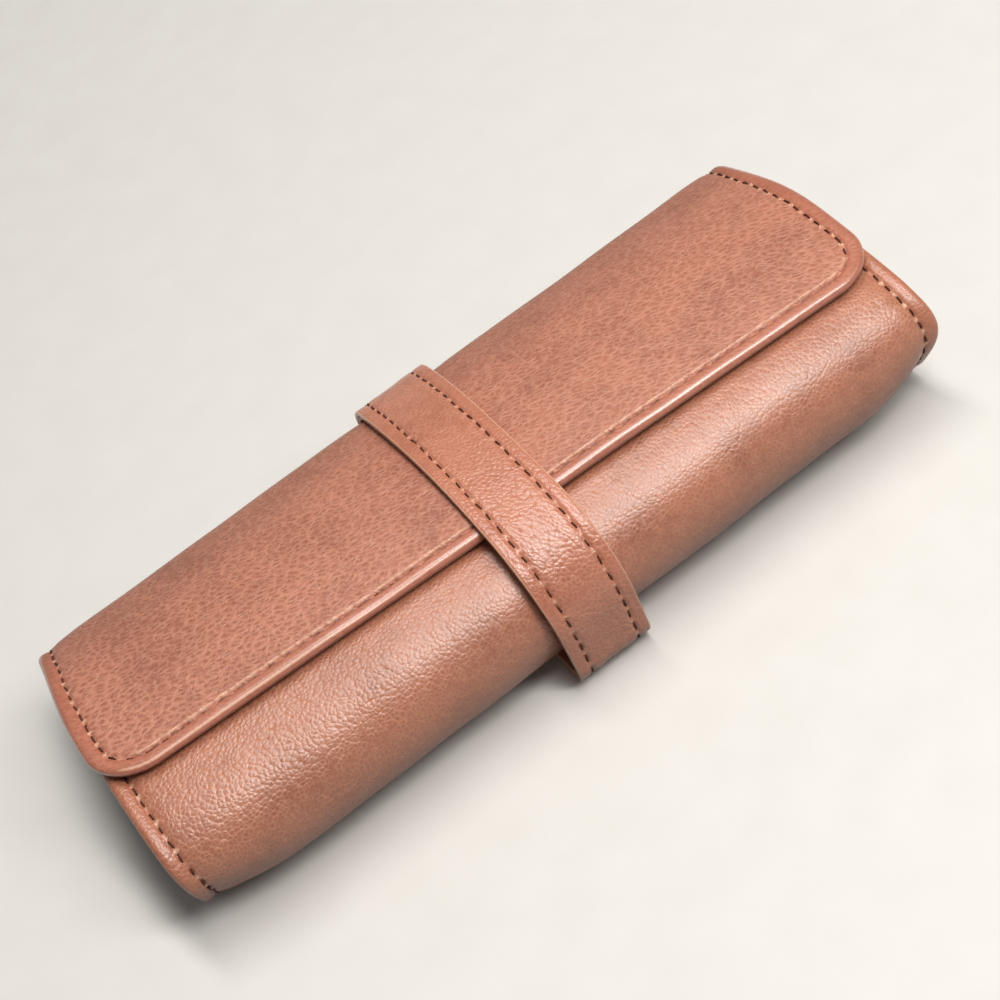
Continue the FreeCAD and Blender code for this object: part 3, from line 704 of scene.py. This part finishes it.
def leather(name, tones, *, cell, turn, bend, veins, pits, ridge, pebble, rough, shine, coat, wear_and_shade, border,
            left=0.0, raw=None):
    """Grained leather on the leather laid flat, bent by noise. Two networks of cells, one turned and stretched
    and one of about a millimetre, have pale ridges along their edges, broken up by noise. The first has darker
    pits at its middles and pebbles that are domes 1 - F1^2; both may grow towards the left end. Slow noise
    shifts the colour and the sewn border takes some of its own colour. Puckers, the front seam's rim and the
    flap's rounded edge take a painted highlight, partly rubbed wear; needle holes and the front seam's groove
    take painted shade, as do the leather's underside, its cut edge and the back of the flap; and the cut edge
    is burnished under a coat."""
    body, deep, pale, rim = tones
    finish = Finish(name, {"Specular IOR Level": shine, "Coat Roughness": 0.22, "Coat IOR": 1.6})
    flat = finish.node("UVMap", {"uv_map": "skin"}, {})
    bent = flat
    for scale, size in ((0.22, 2.2 * bend), (1.3, 0.5 * bend)):
        drift = finish.vector("SUBTRACT", finish.noise(flat, scale, detail=1.0, out="Color"), (0.5, 0.5, 0.5))
        bent = finish.vector("ADD", bent, finish.vector("MULTIPLY", drift, (size, size, 0.0)))
    laid = finish.node("Mapping", {"vector_type": "TEXTURE"}, {
        "Vector": bent, "Rotation": (0, 0, math.radians(turn)), "Scale": (*cell, 1.0)})
    dome = finish.cells(laid, "F1", 1.0)
    pores = finish.noise(flat, scale=3.4, detail=2.0)
    slow = finish.noise(flat, scale=0.07, detail=3.0, rough=0.55)
    patch = finish.noise(flat, scale=0.5, detail=3.0, rough=0.6)
    large = 1 - finish.ease(finish.cells(laid, "DISTANCE_TO_EDGE", 1.0), 0.0, 0.4)
    small = 1 - finish.ease(finish.cells(bent, "DISTANCE_TO_EDGE", 0.95), 0.0, 0.36)
    near = finish.mark("edge")
    panel = finish.ease(near, 2.6, 3.4)
    burnish = 1 - finish.ease(near, 0.45 * wear_and_shade, wear_and_shade)
    web = large * (0.25 + 0.75 * finish.ease(patch, 0.3, 0.65)) + small * 0.35
    web = web * (0.6 + 0.4 * panel)
    pit = (1 - finish.ease(dome, 0.12, 0.55)) * finish.ease(pores, 0.34, 0.6)
    domes = (1 - dome * dome) * (pebble * (0.4 + 1.2 * patch))
    if left:
        along = finish.node("SeparateXYZ", {}, {0: flat}, "X")
        deeper = 1 + left * (1 - finish.ease(along, -75.0, 15.0))
        pit, domes = pit * deeper, domes * deeper
    shade = finish.mix(finish.ease(slow * 0.7 + patch * 0.3, 0.26, 0.6) * (1 - pits * pit), deep, body)
    shade = finish.mix(web * veins, shade, pale)
    shade = finish.mix((1 - panel) * border, shade, rim)
    # painted highlight, partly rubbed wear, on the puckers, the front seam's rim and the flap's rounded edge
    shade = finish.mix(finish.ease(finish.mark("rub_and_highlight") * (0.5 + pores), 0.35, 1.0) * 0.7, shade, RUB_AND_HIGHLIGHT)
    # painted shade in the needle holes and the front seam's groove
    shade = finish.mix(finish.ease(finish.mark("hole"), 0.45, 1.0) * 0.7, shade, HOLE_SHADE)
    # painted shade on the leather's underside, its cut edge and the back of the flap
    shade = finish.mix(finish.mark("dim") * 0.75, shade, SHADED)
    if raw:
        shade = finish.mix(finish.mark("raw") * (0.5 + 0.5 * pores), shade, raw)
    height = (domes + web * ridge + pores * 0.08) * (1 - 0.5 * burnish)
    gloss = rough + 0.12 * (pores - 0.5) + 0.08 * large
    if coat:
        finish.feed(finish.shader.inputs["Coat Weight"], burnish * (coat * finish.ease(pores, 0.0, 0.42)))
    return finish.shade(shade, gloss, height, relief=0.2)


def suede(name, body, deep):
    """Napped lining: a short fibre noise over slow cloudy shading."""
    finish = Finish(name, {"Specular IOR Level": 0.2, "Sheen Weight": 0.25, "Sheen Roughness": 0.5})
    flat = finish.node("UVMap", {"uv_map": "skin"}, {})
    nap = finish.noise(flat, scale=6.0, detail=4.0, rough=0.7)
    cloud = finish.noise(flat, scale=0.12, detail=3.0, rough=0.6)
    shade = finish.mix(finish.ease(nap * 0.5 + cloud * 0.5, 0.3, 0.7), deep, body)
    return finish.shade(shade, 0.82 + 0.15 * nap, nap, relief=0.12)


def twisted_thread(name, body, deep):
    """Waxed thread: slanting strands, a sine of the run along the stitch plus the turn round it."""
    finish = Finish(name, {"Specular IOR Level": 0.25})
    flat = finish.node("UVMap", {"uv_map": "skin"}, {})
    run = finish.node("SeparateXYZ", {}, {0: flat}, "X")
    around = finish.node("SeparateXYZ", {}, {0: flat}, "Y")
    phase = run * 11 + around
    strand = finish.node("Math", {"operation": "SINE"}, {0: phase}) * 0.5 + 0.5
    fuzz = finish.noise(flat, scale=3.0, detail=2.0)
    shade = finish.mix(strand * 0.7 + fuzz * 0.3, deep, body)
    return finish.shade(shade, 0.45 + 0.2 * fuzz, strand, relief=0.06)


FLAP_HIDE = leather(
    "flap_hide", [tone(190, 119, 94), tone(152, 87, 66), tone(226, 170, 142), tone(180, 101, 73)],
    cell=(2.0, 1.0), turn=30, bend=0.9, veins=0.26, pits=0.65, ridge=0.45, pebble=0.0, rough=0.43, shine=0.65,
    coat=1.0, wear_and_shade=1.6, border=0.5, left=0.8)
CASE_HIDE = leather(
    "case_hide", [tone(186, 115, 86), tone(150, 86, 61), tone(226, 170, 140), tone(190, 112, 80)],
    cell=(0.86, 0.74), turn=-25, bend=0.8, veins=0.22, pits=0.45, ridge=-0.08, pebble=0.28, rough=0.35,
    shine=1.0, coat=0.0, wear_and_shade=0.6, border=0.25, left=0.9)
BAND_HIDE = leather(
    "band_hide", [tone(197, 122, 94), tone(170, 98, 73), tone(224, 166, 138), tone(196, 119, 90)],
    cell=(0.9, 0.75), turn=35, bend=0.7, veins=0.28, pits=0.5, ridge=-0.05, pebble=0.5, rough=0.29, shine=0.85,
    coat=0.0, wear_and_shade=0.6, border=0.2, raw=RAW_EDGE)
INNER_HIDE = leather(
    "inner_hide", [tone(178, 116, 90), tone(150, 94, 70), tone(206, 150, 122), tone(186, 118, 90)],
    cell=(0.9, 0.7), turn=35, bend=0.7, veins=0.25, pits=0.5, ridge=-0.05, pebble=0.35, rough=0.5, shine=0.5,
    coat=0.0, wear_and_shade=0.6, border=0.3, raw=RAW_EDGE)
LINING_NAP = suede("lining_nap", tone(150, 104, 82), tone(130, 88, 69))
THREAD = twisted_thread("waxed_thread", tone(98, 56, 42), tone(48, 26, 19))


# End walls and pen dividers

def end_wall(name, finish, sign):
    """An end wall of one leather: a flange on the lining, a quarter bend and a flat plate. Round the hollow it
    follows the section line, closed by a step at the lip; along the profile, the flange runs in from the end,
    the bend turns a quarter circle and the plate shrinks to its middle. Both faces stand half the leather off
    that surface and meet in a round free edge."""
    half, bend, plate = 0.55, 1.5, WALL_PLANE
    on_flange, on_plate = [0, .02, .08, .2, .4, .7], [0.2, 0.45, 0.7, 0.88]
    on_bend = np.linspace(0, math.pi / 2, 6)
    wall_steps, lip_steps = 260, 6
    mark = np.linspace(WALL_START_MARK, WALL_TOP_MARK, wall_steps)[:, None]
    flange = 0.6 + FLANGE_REACH * (1 - ease(HINGE_MARK - 6, HINGE_MARK, mark)) * ease(1, 4, mark)
    part = np.concatenate([on_flange, np.ones(len(on_bend) + len(on_plate))])
    turn = np.concatenate([np.zeros(len(on_flange)), on_bend, np.full(len(on_plate), math.pi / 2)])
    inward = np.concatenate([np.zeros(len(on_flange) + len(on_bend)), on_plate])
    x = sign * (plate + bend * (1 - np.sin(turn)) + flange * (1 - part))
    shift = np.where(mark < JOIN_MARK, case_shift(x, mark), flap_shift(x, mark))
    round_hollow = on_skin(SKIN, x, mark, shift - WALL_DEPTH - half - bend * (1 - np.cos(turn)))
    heading = SKIN.at(mark[:, 0])[2]
    outward = np.stack([np.zeros_like(heading), np.sin(heading), -np.cos(heading)], 1)
    step = np.linspace(0, 1, lip_steps + 2)[1:-1, None, None]
    surface = np.concatenate([round_hollow, round_hollow[-1:] * (1 - step) + round_hollow[:1] * step])
    outward = np.concatenate([outward, np.tile([0.0, -1.0, 0.0], (lip_steps, 1))])[:, None]
    run = np.concatenate([part * flange, np.tile(part * flange[:1], (lip_steps, 1))])
    run = run + bend * turn + 10 * inward
    middle = np.array([sign * plate, *WALL_MIDDLE])
    surface = surface + inward[:, None] * (middle - surface)
    stand = half * np.sqrt(1 - (1 - np.clip(run / half, 0, 1)) ** 2)[..., None]
    way = np.cos(turn)[:, None] * outward - np.sin(turn)[:, None] * np.array([sign, 0.0, 0.0])
    around, along = run.shape
    inner = np.arange(around * along).reshape(around, along)
    own = np.arange(around * (along - 1)).reshape(around, -1)
    outer = np.concatenate([inner[:, :1], around * along + own], 1)
    inner_points, outer_points = surface + stand * way, surface - stand * way
    points = np.concatenate([inner_points.reshape(-1, 3), outer_points[:, 1:].reshape(-1, 3),
                             [middle - [sign * half, 0, 0], middle + [sign * half, 0, 0]]])
    inner, outer = (np.concatenate([index, index[:1]]) for index in (inner, outer))
    poles = len(points) - 2, len(points) - 1
    fans = [np.stack([index[:-1, -1], index[1:, -1], np.full(around, pole)], 1)
            for index, pole in zip((inner, outer), poles)]
    faces = [grid_faces(inner), grid_faces(outer)[:, ::-1], fans[0], fans[1][:, ::-1]]
    skin = points[:, 1:] + 0.7 * (points[:, :1] - sign * plate)
    return new_piece(name, points, faces, finish, skin, {"edge": np.full(len(points), NO_EDGE)})


def divider(name, finish, place):
    """A pen divider: the outline of a foot and an upright, with rounded corners, carried along the case. The
    upright leans by a slow sine of the length that grows with the height."""
    quarter = math.pi / 2
    run_points, far_side = 6, 40
    side = BentLine((0, 0), 0.0, [(3.7, 0), (0.3 * quarter, 0.3), (0.4, 0), (0.3 * quarter, 0.3), (2.3, 0),
                                  (0.6 * quarter, -0.6), (7.6, 0), (0.8 * quarter, 0.8)])
    runs = [np.linspace(a, b, run_points + 1)[:-1] for a, b in zip(side.marks[:-1], side.marks[1:])]
    mark = np.concatenate([*runs, [side.length]])
    right_y, right_z = side.at(mark)[:2]
    loop_y = np.concatenate([right_y, -right_y[-2:0:-1]])
    loop_z = np.concatenate([right_z, right_z[-2:0:-1]])
    x = np.linspace(-DIVIDER_HALF_LENGTH, DIVIDER_HALF_LENGTH, 90)[:, None]
    lean = 0.3 * np.sin(x / 21 + place) * (loop_z / 10) ** 2
    points = np.stack(np.broadcast_arrays(x, place + loop_y + lean, FLOOR_SKIN + loop_z), -1)
    index = np.arange(points[..., 0].size).reshape(points.shape[:2])
    closed = np.concatenate([index, index[:, :1]], 1)
    skin = np.stack(np.broadcast_arrays(x, np.concatenate([mark, far_side - mark[-2:0:-1]])), -1).reshape(-1, 2)
    faces = [grid_faces(closed), index[:1, ::-1], index[-1:]]
    marks = {"edge": np.full(index.size, NO_EDGE)}
    return new_piece(name, points.reshape(-1, 3), faces, finish, skin, marks, flat_from=len(faces[0]))


# The pieces on their bodies

def dress(piece, slot, *nodes):
    """The piece stands for CAD nodes, which it hides; the slot is not used."""
    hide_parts(*nodes)
    return piece


def bend_with_flap(piece):
    """Bakes the piece's placement into its points. The hinge line and the leather's heading a little below it
    are worked out but not used, so the piece does not bend with the flap."""
    line = np.array([0, *SKIN.at(HINGE_MARK)[:2]])
    heading = SKIN.at(HINGE_MARK - BEND_BELOW)[2]
    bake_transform(piece)


# how the outer leathers and their linings differ
COVER = {"depth": 0.0, "thick": COVER_THICK, "inset": 0.0, "sewn": True}
INSIDE = {"depth": COVER_THICK + LAYER_GAP, "thick": LINING_THICK, "inset": LINING_INSET, "sewn": False}

case_cover = case_sheet("case_cover", CASE_HIDE, step=0.68, **COVER)
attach(dress(case_cover, "case_leather", "shell_leather", "shell_board"), "case")
case_inside = case_sheet("case_inside", LINING_NAP, step=1.6, **INSIDE)
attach(dress(case_inside, "lining", "shell_lining"), "case")
flap_cover = flap_sheet("flap_cover", FLAP_HIDE, step=0.62, **COVER)
bend_with_flap(dress(flap_cover, "flap_leather", "flap_leather", "flap_board"))
flap_inside = flap_sheet("flap_inside", LINING_NAP, step=1.6, **INSIDE)
bend_with_flap(dress(flap_inside, "lining", "flap_lining"))

places, headings = flap_row()
level = flap_shift(*places.T) + SINK - FRONT_SINK * front_share(*places.T)
flap_stitches = skin_row("flap_stitches", THREAD, SKIN, places, headings, level)
bend_with_flap(dress(flap_stitches, "thread", "flap_seam"))
for side, (places, headings) in front_rows().items():
    row = skin_row("end_stitches_" + side, THREAD, SKIN, places, headings, case_shift(*places.T) + SINK)
    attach(dress(row, "thread", "end_seam_" + side), "case")
for side, (places, headings) in back_rows().items():
    row = skin_row("back_stitches_" + side, THREAD, SKIN, places, headings, flap_shift(*places.T) + SINK)
    bend_with_flap(row)
places, headings = lip_row()
lip_stitches = skin_row("lip_stitches", THREAD, SKIN, places, headings, case_shift(*places.T) + SINK)
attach(dress(lip_stitches, "thread", "lip_seam"), "case")

for side, sign in (("left", -1), ("right", 1)):
    wall = end_wall("end_cup_" + side, INNER_HIDE, sign)
    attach(dress(wall, "case_leather", "end_wall_" + side), "case")
foot_rows = []
for side, place in DIVIDER_PLACES.items():
    strip = divider("pen_strip_" + side, LINING_NAP, place)
    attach(dress(strip, "lining", "pen_divider_" + side), "case")
    x = stitch_marks(2 * DIVIDER_HALF_LENGTH, FOOT_PITCH) - DIVIDER_HALF_LENGTH
    height = np.full_like(x, FLOOR_SKIN + FOOT_TOP)
    for aside in (-FOOT_ASIDE, FOOT_ASIDE):
        foot_rows.append(np.stack([x, np.full_like(x, place + aside), height], 1))
foot_rows = np.concatenate(foot_rows)
foot_stitches = thread_row("foot_stitches", THREAD, foot_rows, along=np.tile([1.0, 0, 0], (len(foot_rows), 1)),
                           up=np.tile([0, 0, 1.0], (len(foot_rows), 1)), length=3.4, width=0.5, height=0.45)
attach(dress(foot_stitches, "thread", "divider_seam"), "case")

band_cover = ring_piece("band_cover", BAND_HIDE, low=BAND_THICK / 2, high=BAND_THICK,
                        half_width=BAND_HALF, sewn=True)
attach(dress(band_cover, "band_leather", "band_leather"), "band")
band_inner = ring_piece("band_inner", INNER_HIDE, low=0.0, high=BAND_THICK / 2 - LAYER_GAP,
                        half_width=BAND_HALF - BAND_INNER_INSET, sewn=False)
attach(dress(band_inner, "lining", "band_lining"), "band")
for side, (places, headings) in band_rows().items():
    level = BAND_THICK - band_settle(places[:, 1]) + SINK
    row = skin_row("band_stitches_" + side, THREAD, BAND_LINE, places, headings, level)
    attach(dress(row, "thread", "band_seam_" + side), "band")
lap = np.stack([np.tile(LAP_PLACES, len(LAP_MARKS)), np.repeat(LAP_MARKS, len(LAP_PLACES))], 1)
level = BAND_THICK + SINK - LAP_SINK
lap_stitches = skin_row("lap_stitches", THREAD, BAND_LINE, lap, np.zeros(len(lap)), level)
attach(dress(lap_stitches, "thread", "band_lap_seam"), "band")


# Floor, light and camera

PALE_GLOW = 0.8
PIXELS, FOCAL_PIXELS, SENSOR = 1000, 2200, 36.0


def make_floor():
    """A wide level square under the case, pale where it is seen and darker in the light that it throws back.
    Far from the case, past the lamps' reach, it glows as pale as it is near by."""
    reach = 1500.0
    corners = np.array([[-reach, -reach, 0], [reach, -reach, 0], [reach, reach, 0], [-reach, reach, 0]])
    finish = Finish("pale_floor", {"Specular IOR Level": 0.05, "Emission Strength": PALE_GLOW})
    place = finish.node("TexCoord", {}, {}, "Object")
    mottle = finish.noise(place, scale=90.0, detail=3.0)
    pale = finish.mix(mottle, tone(222, 219, 214), tone(229, 227, 223))
    away = finish.ease(finish.node("VectorMath", {"operation": "LENGTH"}, {0: place}, "Value"), 0.35, 1.3)
    glow = finish.mix(finish.seen(0.3) * away, tone(0, 0, 0), pale)
    finish.feed(finish.shader.inputs["Emission Color"], glow)
    shade = finish.mix(finish.seen(1.0), tone(64, 62, 60), pale)
    material = finish.shade(shade, 0.7 + 0.1 * mottle, mottle, relief=0.02)
    new_piece("floor", corners, [np.array([[0, 1, 2, 3]])], material)


def make_light(name, place, turn, size, power):
    """A soft box that faces straight down, its long side turned from the case's length."""
    lamp = bpy.data.lights.new(name, "AREA")
    lamp.shape = "RECTANGLE"
    lamp.size, lamp.size_y = size
    lamp.energy = power
    lamp.color = (1.0, 0.98, 0.95)
    box = bpy.data.objects.new(name, lamp)
    box.matrix_world = Matrix.Translation(place) @ Matrix.Rotation(math.radians(turn), 4, "Z")
    bpy.context.scene.collection.objects.link(box)


def make_world(strength):
    """A plain world that lights the case evenly and is as pale as the floor where it is seen."""
    world = bpy.data.worlds.new("studio")
    world.use_nodes = True
    studio = Studio(world.node_tree, "Background", {"Color": tone(246, 246, 246)})
    studio.feed(studio.shader.inputs["Strength"], strength + (PALE_GLOW - strength) * studio.seen(0.1))
    bpy.context.scene.world = world


def make_camera():
    """The photograph's view: where it stood, what is right and down in the picture, and its lens."""
    right = np.array([0.79491, -0.51196, -0.32559])
    down = np.array([-0.58759, -0.51589, -0.62338])
    forward = np.array([0.15118, 0.68684, -0.71091])
    place = np.array([-58.10, -283.20, 308.09]) * MM
    lens = bpy.data.cameras.new("camera")
    lens.sensor_width = SENSOR
    lens.lens = FOCAL_PIXELS / PIXELS * SENSOR
    lens.clip_start = 0.01
    camera = bpy.data.objects.new("camera", lens)
    camera.matrix_world = Matrix(np.c_[np.stack([right, -down, -forward], 1), place].tolist() + [[0, 0, 0, 1]])
    bpy.context.scene.collection.objects.link(camera)
    bpy.context.scene.camera = camera


make_floor()
make_light("strip_box", place=(0.155, 0.0, 1.0), turn=-76.0, size=(1.1, 0.17), power=7.6)
make_light("front_box", place=(0.33, -0.52, 0.72), turn=-36.0, size=(0.75, 0.2), power=5.6)
make_world(strength=0.16)
make_camera()
bpy.context.scene.view_settings.view_transform = "Standard"
